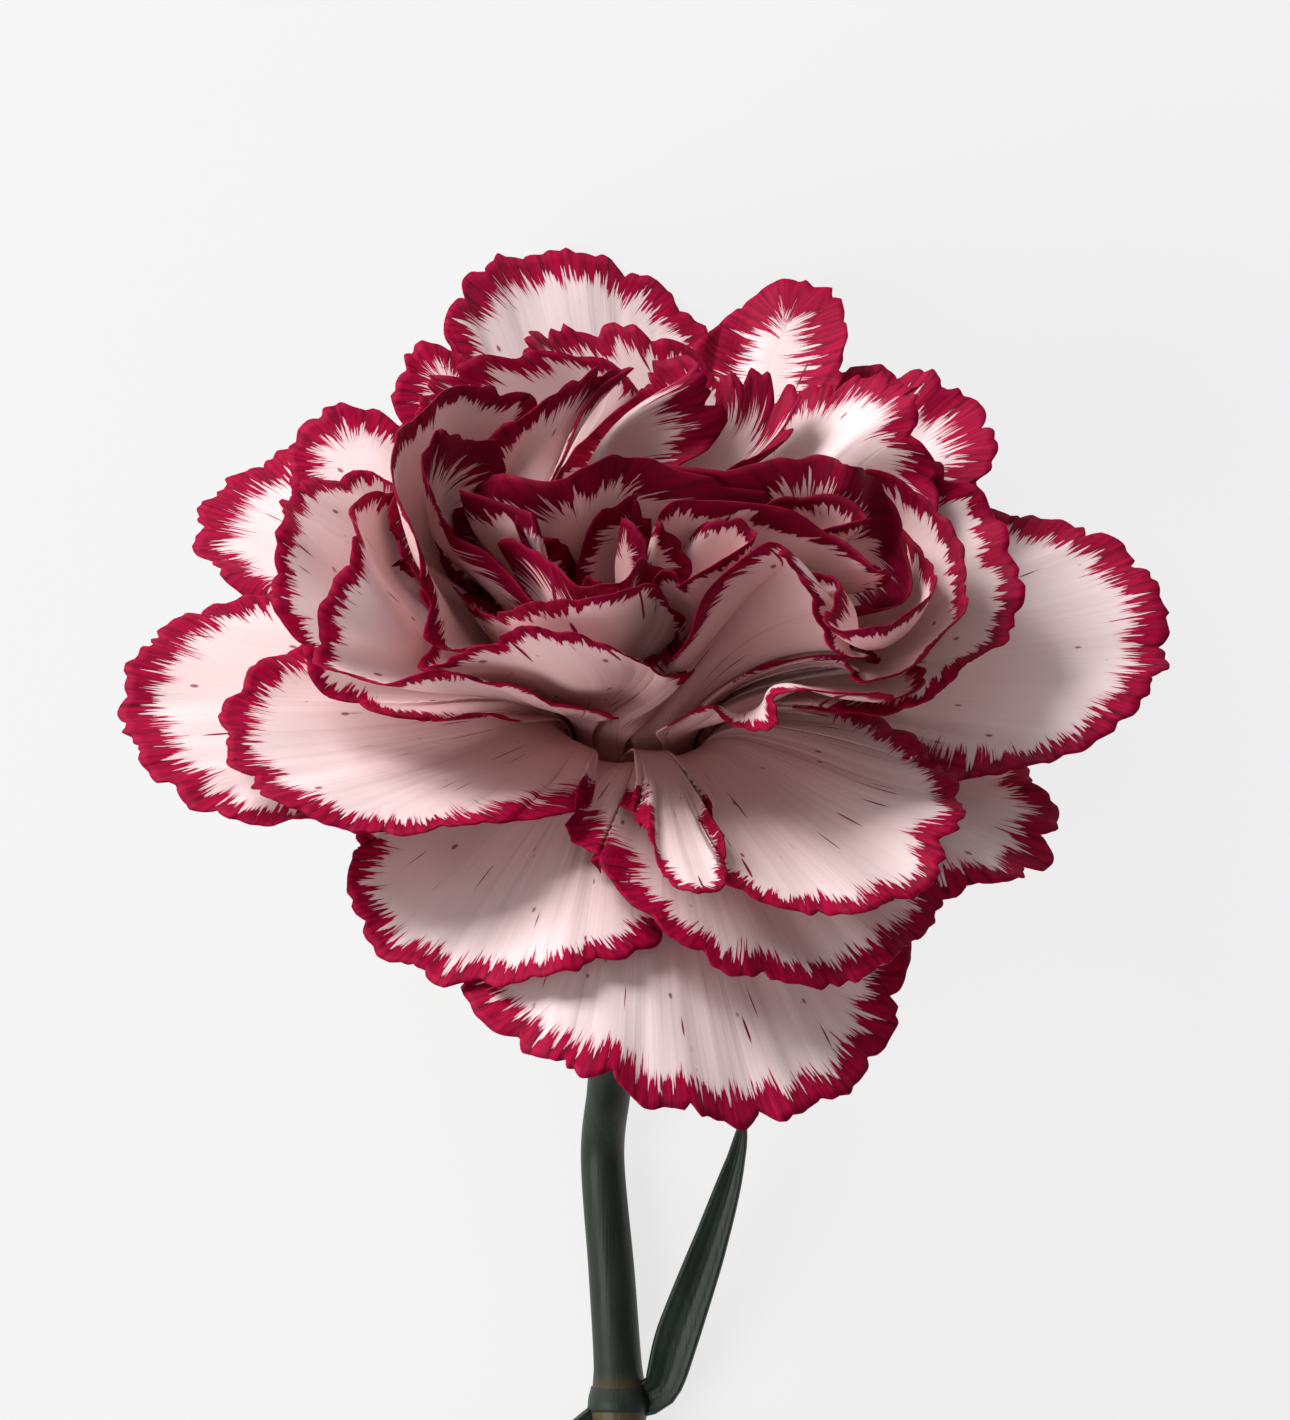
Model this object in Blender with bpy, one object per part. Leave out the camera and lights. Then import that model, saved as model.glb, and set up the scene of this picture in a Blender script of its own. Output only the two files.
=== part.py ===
"""A cut carnation with white petals and a crimson picotee edge, lying on a table.

Each petal, leaf and bract is its own object. The bloom is laid out in its own frame: the
origin is the calyx mouth, x runs right, y runs back, away from the viewer, and height runs
along the bloom's axis. Lengths in this file are millimetres until an object is made.
"""

import math

import bpy
import numpy as np

MM = 0.001

# How the flower lies: the bloom nods up from the table, and its axis swings to the right.
BLOOM_TILT = math.radians(37)
BLOOM_SWING = math.radians(4)
MOUTH_HEIGHT = 25.2

# Petals. A claw is the strip that runs down into the calyx; the limb is the fan beyond the
# mouth. FAN_START and FAN_LENGTH say how far up the limb it begins and stops widening,
# SHOULDER and ROUNDNESS shape its margin, and CURL_ROOM keeps narrow rows from wrapping round.
PETAL_THICKNESS = 0.25
CLAW_HALF_WIDTH = 0.65
CLAW_LENGTH = 20.0
MOUTH_RADIUS = 5.85
CENTRE_CLAWS_LEFT_OUT = 1.7
OVARY_CLEARANCE = 2.6
BASE_RADIUS = 5.3
BEND_LENGTH = 11.0
FAN_START = 6.0
FAN_LENGTH = 12.0
SHOULDER = 0.5
CURL_ROOM = 2.0
ROUNDNESS = 0.86
PETAL_COLUMNS = 6
CLAW_ROWS = 2
LOW_ROWS = (0.0, 2.5, 5.0, 7.5, 10.0)
HIGH_ROWS = 3

# Calyx, bracts, receptacle and what stands on it
CALYX_DEPTH = 28.0
CALYX_WALL = 0.55
CALYX_FLOOR = 21.6
CALYX_TEETH = 5
TOOTH_LENGTH = 3.2
BRACT_COUNT = 4
BRACT_LENGTH = 9.0
RECEPTACLE_RADIUS = 4.7
GAP = 0.3

# Stem
NODE_RADIUS = 2.6
FIRST_NODE = -50.5
SECOND_NODE = -95.0
CUT_END = -150.0

# Petals from the outside in: name, azimuth in degrees, length and half width.
PETALS = [
    ("guard_bottom", 280, 41, 21),
    ("guard_lower_left", 250, 33, 16),
    ("guard_right_low", 335, 33, 13),
    ("guard_lower_right", 300, 33, 16),
    ("guard_upper_left", 145, 39, 14),
    ("guard_left", 195, 38, 18),
    ("guard_right", 15, 40, 19),
    ("guard_front_right", 310, 32, 15),
    ("guard_inner_left", 215, 34, 16),
    ("guard_small_left", 140, 35, 8),
    ("guard_back_right", 55, 39, 15),
    ("guard_back", 100, 45, 15),
    ("guard_back_left", 125, 35, 7),
    ("guard_far_right", 75, 43, 8),
    ("side_right", 15, 31, 13),
    ("side_left", 180, 32, 14),
    ("side_front", 280, 30, 5),
    ("side_back_right", 45, 34, 14),
    ("side_front_right", 325, 27, 11),
    ("side_back", 105, 33, 14),
    ("collar_left", 200, 30, 14),
    ("collar_back_right", 70, 31, 13),
    ("collar_back_left", 140, 31, 13),
    ("collar_right", 0, 28, 11),
    ("collar_front_left", 230, 27, 12),
    ("ruffle_back", 90, 30, 12),
    ("collar_front", 300, 27, 12),
    ("ruffle_left", 175, 29, 13),
    ("ruffle_right", 340, 27, 13),
    ("ruffle_front_left", 230, 27, 10),
    ("ruffle_back_left", 120, 29, 12),
    ("ruffle_front", 270, 26, 12),
    ("heart_back_right", 40, 27, 12),
    ("heart_left", 165, 27, 12),
    ("heart_front_right", 315, 25, 11),
    ("heart_back", 85, 26, 11),
    ("heart_front_left", 230, 25, 10),
    ("heart_right", 5, 25, 10),
    ("eye_left", 140, 24, 9),
    ("eye_front", 285, 24, 7),
    ("eye_back", 60, 23, 7),
    ("eye_core", 205, 22, 6),
]
# Each petal leans away from the bloom's axis a little less than the one outside it, from the
# outermost petal to the innermost. CROWDING below 1 makes the steps shrink towards the middle,
# where the petals are packed tighter.
OUTERMOST_OPENING = 102.0
INNERMOST_OPENING = 5.0
CROWDING = 0.9
# Petals that hang out of their row, and how far they open.
HANGING = {"side_front": 76.0}

# Waves of the opening round the bloom: waves per turn, size and phase in degrees, and how many
# degrees of phase each degree of opening adds. The petals' shells never cross, because
# a degree of opening moves the waves by less than a degree.
OPENING_WAVES = [(3, 4.0, 17, 1.2), (5, 3.5, 109, -1.8), (7, 2.5, 229, 2.4)]
# The wide outer petals are flatter: from CALM_START degrees of opening to CALM_FULL the waves
# lose this share of their size.
CALM_START = 60
CALM_FULL = 90
CALM_SHARE = 0.55
# Whorls in which the crowded petals twist: centre x and y, reach, turn in degrees.
WHORLS = [
    (10, 9, 9, 65),
    (-9, 8, 8, -65),
    (0, -6, 7, 60),
    (12, -8, 8, -60),
    (-14, -4, 7, 50),
    (2, 14, 8, -50),
]
WHORL_START = 6.0
WHORL_FULL = 20.0
MERIDIAN_STEPS = 24


def ease(t):
    """0 below 0, 1 above 1, and a smooth step between."""
    t = np.clip(t, 0.0, 1.0)
    return t * t * (3 - 2 * t)


def bloom_axes():
    """The bloom's right, back and axis directions in the world."""
    swing = math.sin(BLOOM_SWING), math.cos(BLOOM_SWING)
    flat = math.cos(BLOOM_TILT)
    axis = np.array([swing[0] * flat, swing[1] * flat, math.sin(BLOOM_TILT)])
    right = np.array([swing[1], -swing[0], 0.0])
    back = np.cross(axis, right)
    return right, -back if back[1] < 0 else back, axis


RIGHT, BACK, AXIS = bloom_axes()
MOUTH = np.array([0.0, 0.0, MOUTH_HEIGHT])


def to_world(points):
    """Bloom coordinates x, y, height to world millimetres."""
    points = np.asarray(points, float)
    return MOUTH + points[..., 0:1] * RIGHT + points[..., 1:2] * BACK + points[..., 2:3] * AXIS


# Mesh helpers ----------------------------------------------------------------------------


def material(name, colour, roughness):
    made = bpy.data.materials.new(name)
    made.use_nodes = True
    shader = made.node_tree.nodes["Principled BSDF"]
    shader.inputs["Base Color"].default_value = (*colour, 1.0)
    shader.inputs["Roughness"].default_value = roughness
    made.diffuse_color = (*colour, 1.0)
    return made


def mesh_object(name, points, faces, finish):
    """A smooth-shaded object with its vertices in world millimetres."""
    mesh = bpy.data.meshes.new(name)
    mesh.from_pydata((np.asarray(points, float) * MM).tolist(), [], faces)
    mesh.materials.append(finish)
    mesh.shade_smooth()
    made = bpy.data.objects.new(name, mesh)
    bpy.context.scene.collection.objects.link(made)
    return made


def sheet_object(name, grid, thickness, finish):
    """A thin closed solid round a grid of points, rows by columns."""
    rows, columns = grid.shape[:2]
    index = np.arange(rows * columns).reshape(rows, columns)
    faces = [
        (int(index[i, j]), int(index[i, j + 1]), int(index[i + 1, j + 1]), int(index[i + 1, j]))
        for i in range(rows - 1)
        for j in range(columns - 1)
    ]
    made = mesh_object(name, grid.reshape(-1, 3), faces, finish)
    solidify = made.modifiers.new("Thickness", "SOLIDIFY")
    solidify.thickness = thickness * MM
    solidify.offset = 0.0
    return made


def turned_object(name, profile, segments, finish, lift=None):
    """A solid turned about the bloom's axis from (radius, height) points, bottom to top.

    The first and last points lie on the axis. lift(k, angle) raises ring k's points.
    """
    rings = profile[1:-1]
    angles = [2 * math.pi * j / segments for j in range(segments)]
    points = [(0.0, 0.0, profile[0][1])]
    for k, (radius, height) in enumerate(rings):
        for angle in angles:
            flare, rise = lift(k, angle) if lift else (0.0, 0.0)
            reach = radius + flare
            points.append((reach * math.cos(angle), reach * math.sin(angle), height + rise))
    points.append((0.0, 0.0, profile[-1][1]))
    faces = []
    last = len(points) - 1
    top = 1 + (len(rings) - 1) * segments
    for j in range(segments):
        n = (j + 1) % segments
        faces.append((0, 1 + n, 1 + j))
        for k in range(len(rings) - 1):
            a, b = 1 + k * segments, 1 + (k + 1) * segments
            faces.append((a + j, a + n, b + n, b + j))
        faces.append((last, top + j, top + n))
    return mesh_object(name, to_world(points), faces, finish)


def tube_object(name, path, radii, sides_level, finish):
    """A round-sided tube along points in world millimetres, with closed ends."""
    curve = bpy.data.curves.new(name, "CURVE")
    curve.dimensions = "3D"
    curve.bevel_depth = MM
    curve.bevel_resolution = sides_level
    curve.use_fill_caps = True
    spline = curve.splines.new("POLY")
    spline.points.add(len(path) - 1)
    for point, place, radius in zip(spline.points, path, radii):
        point.co = (*(c * MM for c in place), 1.0)
        point.radius = radius
    curve.materials.append(finish)
    made = bpy.data.objects.new(name, curve)
    bpy.context.scene.collection.objects.link(made)
    return made


def smooth_path(points, spacing):
    """Points every spacing along a Catmull-Rom curve through the given ones, any dimension."""
    known = np.asarray(points, float)
    known = np.vstack([2 * known[0] - known[1], known, 2 * known[-1] - known[-2]])
    found = []
    for i in range(1, len(known) - 2):
        p0, p1, p2, p3 = known[i - 1 : i + 3]
        steps = max(2, int(np.linalg.norm(p2[:3] - p1[:3]) / spacing))
        for k in range(steps):
            t = k / steps
            found.append(
                0.5
                * (
                    2 * p1
                    + (p2 - p0) * t
                    + (2 * p0 - 5 * p1 + 4 * p2 - p3) * t**2
                    + (3 * p1 - p0 - 3 * p2 + p3) * t**3
                )
            )
    found.append(known[-2])
    return np.array(found)


# Petals ------------------------------------------------------------------------------------


def claw_radius(order):
    """Where petal number order leaves the calyx mouth: an even spread, outermost first."""
    place = len(PETALS) - order + CENTRE_CLAWS_LEFT_OUT - 0.5
    return MOUTH_RADIUS * math.sqrt(place / (len(PETALS) + CENTRE_CLAWS_LEFT_OUT))


def opening_of(order):
    """How many degrees petal number order leans away from the bloom's axis."""
    name = PETALS[order][0]
    if name in HANGING:
        return HANGING[name]
    inward = order / (len(PETALS) - 1)
    return OUTERMOST_OPENING - (OUTERMOST_OPENING - INNERMOST_OPENING) * inward**CROWDING


def opening_at(opening, azimuth):
    """The angle from the bloom's axis that a petal opens to, which waves round the bloom."""
    wave = sum(
        size * np.cos(count * azimuth + math.radians(phase + drift * opening))
        for count, size, phase, drift in OPENING_WAVES
    )
    calm = min(1.0, opening / 40 + 0.1)
    calm *= 1 - CALM_SHARE * ease((opening - CALM_START) / (CALM_FULL - CALM_START))
    return np.radians(opening + wave * calm)


def on_shell(opening, order, azimuth, along):
    """Radius and height on petal number order's bowl-shaped shell. Shells never cross."""
    target = opening_at(opening, azimuth)
    step = along / MERIDIAN_STEPS
    radius = np.full(np.shape(along), claw_radius(order))
    height = np.zeros(np.shape(along))
    for k in range(MERIDIAN_STEPS):
        lean = target * ease(step * (k + 0.5) / BEND_LENGTH)
        radius = radius + np.sin(lean) * step
        height = height + np.cos(lean) * step
    return radius, height


def twist_in_whorls(points):
    """Turns each height's plane round the whorls, more and more up the bloom."""
    x, y, height = (points[..., k].copy() for k in range(3))
    grown = ease((height - WHORL_START) / (WHORL_FULL - WHORL_START))
    for centre_x, centre_y, reach, turn in WHORLS:
        dx, dy = x - centre_x, y - centre_y
        angle = math.radians(turn) * grown * np.exp(-(dx * dx + dy * dy) / reach**2)
        x = centre_x + dx * np.cos(angle) - dy * np.sin(angle)
        y = centre_y + dx * np.sin(angle) + dy * np.cos(angle)
    return np.stack([x, y, height], -1)


def claw_grid(order, azimuth):
    """The strip of a petal inside the calyx, from just above the receptacle to the mouth."""
    top = claw_radius(order)
    spread = (BASE_RADIUS**2 - OVARY_CLEARANCE**2) / MOUTH_RADIUS**2
    bottom = math.sqrt(OVARY_CLEARANCE**2 + spread * top**2)
    across = np.linspace(-1, 1, PETAL_COLUMNS + 1) * CLAW_HALF_WIDTH
    rows = []
    for row in range(CLAW_ROWS):
        share = row / CLAW_ROWS
        radius = bottom + (top - bottom) * share
        angle = azimuth + across / (top + CURL_ROOM)
        height = np.full(angle.shape, -CLAW_LENGTH * (1 - share))
        rows.append(np.stack([radius * np.cos(angle), radius * np.sin(angle), height], -1))
    return np.array(rows)


def limb_grid(order, azimuth, opening, length, half_width):
    """The fan of a petal, from the calyx mouth to its rounded margin."""
    round_angle = np.linspace(-0.5, 0.5, PETAL_COLUMNS + 1)[None, :] * math.pi
    sideways = np.sign(round_angle) * np.abs(np.sin(round_angle)) ** ROUNDNESS
    forward = SHOULDER + (1 - SHOULDER) * np.abs(np.cos(round_angle)) ** ROUNDNESS
    low = np.array(LOW_ROWS)[:, None] + 0 * forward
    share = np.linspace(0, 1, HIGH_ROWS + 1)[1:, None]
    high = LOW_ROWS[-1] + share * (length * forward - LOW_ROWS[-1])
    along = np.concatenate([low, high])
    outward = along / (length * forward)
    fan = ease((along - FAN_START) / FAN_LENGTH)
    across = sideways * (half_width * outward * fan + CLAW_HALF_WIDTH * (1 - fan))
    middle_radius, _ = on_shell(opening, order, np.full(along.shape, azimuth), along)
    angle = azimuth + across / (middle_radius + CURL_ROOM)
    radius, height = on_shell(opening, order, angle, along)
    flat = np.stack([radius * np.cos(angle), radius * np.sin(angle), height], -1)
    return twist_in_whorls(flat)


def build_petals(finish):
    for order, (name, degrees, length, half_width) in enumerate(PETALS):
        azimuth = math.radians(degrees)
        opening = opening_of(order)
        claw = claw_grid(order, azimuth)
        limb = limb_grid(order, azimuth, opening, length, half_width)
        grid = to_world(np.concatenate([claw, limb]))
        sheet_object("petal_" + name, grid, PETAL_THICKNESS, finish)


# Calyx and centre ----------------------------------------------------------------------------

CALYX_PROFILE = [
    (2.1, -CALYX_DEPTH),
    (4.0, -26.0),
    (5.9, -21.5),
    (6.6, -15.0),
    (6.8, -7.0),
    (6.9, 0.0),
]


def calyx_outside(height):
    heights = [h for _, h in CALYX_PROFILE]
    return float(np.interp(height, heights, [r for r, _ in CALYX_PROFILE]))


def build_calyx(finish):
    inside = [
        (calyx_outside(h) - CALYX_WALL, h) for h in (0.0, -7.0, -15.0, -CALYX_FLOOR)
    ]
    profile = [(0.0, -CALYX_DEPTH), *CALYX_PROFILE, *inside, (0.0, -CALYX_FLOOR)]
    rim = len(CALYX_PROFILE) - 1

    def teeth(ring, angle):
        if ring not in (rim, rim + 1):
            return 0.0, 0.0
        tooth = abs(((angle * CALYX_TEETH / math.pi) % 2) - 1)
        return 0.35 * tooth, TOOTH_LENGTH * tooth - 0.4

    turned_object("calyx", profile, 6 * CALYX_TEETH, finish, teeth)


def build_bracts(finish):
    rows, columns = 5, 4
    for k in range(BRACT_COUNT):
        azimuth = math.radians(45 + 360 / BRACT_COUNT * k)
        grid = np.zeros((rows + 1, columns + 1, 3))
        for i in range(rows + 1):
            share = i / rows
            height = -CALYX_DEPTH + 0.4 + share * BRACT_LENGTH
            radius = calyx_outside(height) + GAP + 0.35 + 0.5 * share**3
            half_angle = math.radians(38) * math.sqrt(1.04 - share**2)
            for j in range(columns + 1):
                angle = azimuth + half_angle * (2 * j / columns - 1)
                grid[i, j] = radius * math.cos(angle), radius * math.sin(angle), height
        sheet_object(f"bract_{k + 1}", to_world(grid), 0.45, finish)


def build_centre(green, white):
    top = -CLAW_LENGTH - GAP
    floor = -CALYX_FLOOR + GAP
    receptacle = [(0, floor), (RECEPTACLE_RADIUS, floor), (RECEPTACLE_RADIUS, top), (0, top)]
    turned_object("receptacle", receptacle, 20, green)
    base, ovary_top = top + GAP, -12.0
    ovary = [(0, base), (0.9, base), (1.4, -17.5), (1.3, -14.5), (0.8, ovary_top), (0, ovary_top)]
    turned_object("ovary", ovary, 12, green)
    for side, name in ((-1, "style_left"), (1, "style_right")):
        heights = np.linspace(ovary_top + GAP, 15.0, 10)
        line = np.stack([np.full(10, 0.42 * side), np.zeros(10), heights], -1)
        tube_object(name, to_world(twist_in_whorls(line)), np.linspace(0.26, 0.2, 10), 1, white)
    for k in range(3):
        angle = math.radians(30 + 120 * k)
        x, y = 1.95 * math.cos(angle), 1.95 * math.sin(angle)
        heights = (base, -17.5, -15.4, -14.9, -14.2)
        line = to_world([(x, y, h) for h in heights])
        tube_object(f"stamen_{k + 1}", line, (0.2, 0.18, 0.16, 0.34, 0.2), 1, white)


# Stem and leaves --------------------------------------------------------------------------


def stem_path():
    """Centreline points and radii, from under the calyx to the cut end."""
    start = to_world((0, 0, -CALYX_DEPTH - GAP))
    second = start - AXIS * 4.0
    known = [
        (*start, 1.75),
        (*second, 1.7),
        (-2.3, -31.0, 2.5, 1.7),
        (-1.6, -40.0, 2.3, 1.8),
        (-1.1, FIRST_NODE + 3, 2.4, 1.9),
        (-1.0, FIRST_NODE, NODE_RADIUS, NODE_RADIUS),
        (-0.9, FIRST_NODE - 3, 2.5, 2.0),
        (0.4, -72.0, 2.5, 2.0),
        (1.4, SECOND_NODE + 3, 2.5, 2.05),
        (1.5, SECOND_NODE, NODE_RADIUS + 0.1, NODE_RADIUS + 0.1),
        (1.6, SECOND_NODE - 3, 2.5, 2.1),
        (1.2, -122.0, 2.4, 2.1),
        (-0.8, CUT_END, 2.2, 2.15),
    ]
    found = smooth_path(known, 3.0)
    return found[:, :3], found[:, 3]


def build_stem(finish):
    path, radii = stem_path()
    tube_object("stem", path, radii, 3, finish)


# Leaves: name, half width, and midrib points x, y, z from the base to the tip.
LEAVES = [
    (
        "leaf_upper_right",
        1.65,
        [(2.2, -49, 3.2), (3.6, -44.5, 4.2), (6.2, -37, 5.6), (8, -31, 6.8), (8.7, -27.4, 7.4)],
    ),
    (
        "leaf_upper_left",
        1.9,
        [(-3.8, -52.8, 2.8), (-8, -56.5, 4.5), (-15, -62, 6.5), (-22, -68, 5), (-26, -75, 1.8)],
    ),
    (
        "leaf_lower_right",
        2.3,
        [(4.9, -94, 3.2), (10, -86, 5.5), (17, -74, 8), (25, -64, 7), (34, -60, 2.6)],
    ),
    (
        "leaf_lower_left",
        2.4,
        [(-1.9, -94.4, 2.8), (-8, -88, 3.6), (-17, -81, 3.6), (-28, -80, 2.4), (-37, -86, 1.6)],
    ),
]
LEAF_THICKNESS = 0.55
LEAF_CHANNEL = 0.32


def leaf_grid(half_width, midrib):
    """A narrow channelled blade, widest a third of the way out, with a pointed tip."""
    path = smooth_path(midrib, 3.4)
    forward = np.gradient(path, axis=0)
    forward /= np.linalg.norm(forward, axis=1, keepdims=True)
    side = np.cross(forward, (0.0, 0.0, 1.0))
    side /= np.linalg.norm(side, axis=1, keepdims=True)
    up = np.cross(side, forward)
    share = np.linspace(0, 1, len(path))
    width = half_width * (0.75 + 0.25 * ease(share / 0.3)) * (1 - share**2.6) ** 0.8 + 0.12
    across = np.linspace(-1, 1, 5)
    reach = across[None, :] * width[:, None]
    raised = LEAF_CHANNEL * np.abs(reach)
    return path[:, None, :] + reach[..., None] * side[:, None, :] + raised[..., None] * up[:, None, :]


def build_leaves(finish):
    for name, half_width, midrib in LEAVES:
        sheet_object(name, leaf_grid(half_width, midrib), LEAF_THICKNESS, finish)


# Everything together --------------------------------------------------------------------------


def centre_on_table():
    """Moves the flower so that the middle of its footprint is the origin, and it rests on z = 0."""
    bpy.context.view_layer.update()
    graph = bpy.context.evaluated_depsgraph_get()
    corners = []
    for made in bpy.context.scene.objects:
        solid = made.evaluated_get(graph).to_mesh()
        corners.extend(made.matrix_world @ vertex.co for vertex in solid.vertices)
    corners = np.array(corners)
    low, high = corners.min(0), corners.max(0)
    for made in bpy.context.scene.objects:
        made.location = (-(low[0] + high[0]) / 2, -(low[1] + high[1]) / 2, -low[2])


def main():
    for old in list(bpy.data.objects):
        bpy.data.objects.remove(old)
    petal = material("petal", (0.86, 0.70, 0.71), 0.55)
    sepal = material("sepal", (0.22, 0.30, 0.16), 0.5)
    stalk = material("stalk", (0.09, 0.13, 0.08), 0.45)
    blade = material("blade", (0.07, 0.11, 0.08), 0.5)
    pistil = material("pistil", (0.80, 0.80, 0.62), 0.5)
    build_petals(petal)
    build_calyx(sepal)
    build_bracts(sepal)
    build_centre(sepal, pistil)
    build_stem(stalk)
    build_leaves(blade)
    centre_on_table()


main()
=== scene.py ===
# %% [markdown]
# # A cut carnation with a crimson picotee edge
# A carnation's bloom is a crowd of thin petals held in a green tube, the calyx. Each petal is
# a long strip, the claw, that opens into a fan, the limb. This lesson makes every petal as its
# own sheet on its own bowl-shaped shell, one inside the other, and then gives each one ruffles,
# a toothed margin and its painted edge. The shells lie close, so ruffled neighbours run into
# each other in places, most of all the wide outer petals.
#
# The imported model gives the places. Nothing in the lesson moves it.

import math

import bpy
import numpy as np
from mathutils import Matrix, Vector


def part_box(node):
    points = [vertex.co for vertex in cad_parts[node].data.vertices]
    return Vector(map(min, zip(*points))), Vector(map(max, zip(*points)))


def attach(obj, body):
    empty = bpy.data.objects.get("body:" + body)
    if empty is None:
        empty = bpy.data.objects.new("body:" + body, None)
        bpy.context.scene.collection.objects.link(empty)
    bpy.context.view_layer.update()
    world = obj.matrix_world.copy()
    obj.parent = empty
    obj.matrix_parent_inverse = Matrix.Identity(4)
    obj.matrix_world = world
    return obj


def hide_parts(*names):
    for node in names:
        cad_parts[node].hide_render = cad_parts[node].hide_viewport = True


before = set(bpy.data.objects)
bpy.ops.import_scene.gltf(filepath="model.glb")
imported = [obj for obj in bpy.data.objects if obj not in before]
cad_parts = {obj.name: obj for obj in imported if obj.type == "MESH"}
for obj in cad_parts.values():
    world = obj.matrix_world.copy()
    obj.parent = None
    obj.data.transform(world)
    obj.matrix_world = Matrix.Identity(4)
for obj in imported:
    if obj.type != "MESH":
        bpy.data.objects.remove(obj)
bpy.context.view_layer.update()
MM = 0.001

# %% [markdown]
# ## The bloom's own axes
# The flower lies on a table and its bloom nods up. It is far easier to think of the bloom as if
# it stood upright, so petals are laid out in bloom coordinates (x right, y back, height along
# the axis), in millimetres, and turned into place at the very end. The receptacle is a round
# disc on the axis, so the middle of its box is a point that fixes where the bloom is.

# %% Bloom axes
BLOOM_TILT = math.radians(37)
BLOOM_SWING = math.radians(4)
RECEPTACLE_HEIGHT = -20.8
MOUTH_HEIGHT = 25.2

flat = math.cos(BLOOM_TILT)
AXIS = np.array(
    [math.sin(BLOOM_SWING) * flat, math.cos(BLOOM_SWING) * flat, math.sin(BLOOM_TILT)]
)
RIGHT = np.array([math.cos(BLOOM_SWING), -math.sin(BLOOM_SWING), 0.0])
BACK = np.cross(AXIS, RIGHT)
receptacle_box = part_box("receptacle")
MOUTH = np.array(receptacle_box[0] + receptacle_box[1]) / 2 / MM - AXIS * RECEPTACLE_HEIGHT
LAID = MOUTH - np.array([0.0, 0.0, MOUTH_HEIGHT])


def to_world(points):
    """Bloom coordinates to world millimetres."""
    points = np.asarray(points, float)
    return MOUTH + points[..., 0:1] * RIGHT + points[..., 1:2] * BACK + points[..., 2:3] * AXIS


print("calyx mouth at", MOUTH.round(2), "mm, back axis", BACK.round(3))

# %% [markdown]
# ## The petals' places
# Forty-two petals, from the outside in. The azimuth says where round the bloom a petal points:
# 0 is right, 90 is back. Length and half width are those of the limb, and the last column is
# about the width of its crimson edge. How far a petal leans away from the axis needs no column:
# every petal but one opens a little less than the one outside it, so the outermost guards lie
# back past 90 degrees and the eye stands nearly straight up.

# %% Petal table
PETALS = [
    ("guard_bottom", 280, 41, 21, 2.5),
    ("guard_lower_left", 250, 33, 16, 2.1),
    ("guard_right_low", 335, 33, 13, 2.2),
    ("guard_lower_right", 300, 33, 16, 2.2),
    ("guard_upper_left", 145, 39, 14, 2.6),
    ("guard_left", 195, 38, 18, 2.6),
    ("guard_right", 15, 40, 19, 2.5),
    ("guard_front_right", 310, 32, 15, 1.9),
    ("guard_inner_left", 215, 34, 16, 2.3),
    ("guard_small_left", 140, 35, 8, 2.1),
    ("guard_back_right", 55, 39, 15, 3.0),
    ("guard_back", 100, 45, 15, 2.6),
    ("guard_back_left", 125, 35, 7, 2.1),
    ("guard_far_right", 75, 43, 8, 3.8),
    ("side_right", 15, 31, 13, 1.8),
    ("side_left", 180, 32, 14, 1.5),
    ("side_front", 280, 33, 3.8, 0.9),
    ("side_back_right", 45, 34, 14, 1.8),
    ("side_front_right", 325, 27, 11, 1.2),
    ("side_back", 105, 33, 14, 1.7),
    ("collar_left", 200, 30, 14, 1.3),
    ("collar_back_right", 70, 31, 13, 2.3),
    ("collar_back_left", 140, 31, 13, 1.4),
    ("collar_right", 0, 28, 11, 1.5),
    ("collar_front_left", 230, 27, 12, 1.1),
    ("ruffle_back", 90, 30, 12, 2.0),
    ("collar_front", 300, 27, 12, 1.1),
    ("ruffle_left", 175, 29, 13, 1.2),
    ("ruffle_right", 340, 27, 13, 1.3),
    ("ruffle_front_left", 230, 27, 10, 1.1),
    ("ruffle_back_left", 120, 29, 12, 1.4),
    ("ruffle_front", 270, 26, 12, 1.1),
    ("heart_back_right", 40, 27, 12, 2.8),
    ("heart_left", 165, 27, 12, 2.3),
    ("heart_front_right", 315, 25, 11, 1.2),
    ("heart_back", 85, 26, 11, 2.4),
    ("heart_front_left", 230, 25, 10, 2.0),
    ("heart_right", 5, 25, 10, 1.3),
    ("eye_left", 140, 24, 9, 1.8),
    ("eye_front", 285, 24, 7, 1.8),
    ("eye_back", 60, 23, 7, 1.8),
    ("eye_core", 205, 22, 6, 1.8),
]
OUTERMOST_OPENING = 102.0
INNERMOST_OPENING = 5.0
CROWDING = 0.9
# one narrow petal in front hangs forward out of its row, and opens this far
HANGING = {"side_front": 79.0}


def opening_of(order):
    """How many degrees petal number order leans away from the bloom's axis."""
    name = PETALS[order][0]
    if name in HANGING:
        return HANGING[name]
    inward = order / (len(PETALS) - 1)
    return OUTERMOST_OPENING - (OUTERMOST_OPENING - INNERMOST_OPENING) * inward**CROWDING


print("petals:", len(PETALS), "openings:", [round(opening_of(k)) for k in (0, 14, 28, 41)])

# %% [markdown]
# ## Shells nested like bowls
# A petal grows up the bloom for a little way and then leans outwards, until it has leaned by
# its full opening. Adding up small steps along that path gives a radius and a height for any
# distance along the petal. Because every shell inside opens a little less than the one outside
# it, the shells nest like bowls; only the petal that hangs forward leans out of its turn. Two
# things make the bowls lively: the opening waves up and down round the bloom, and whorls twist
# the crowded middle, as a finger would in cream.

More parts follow.
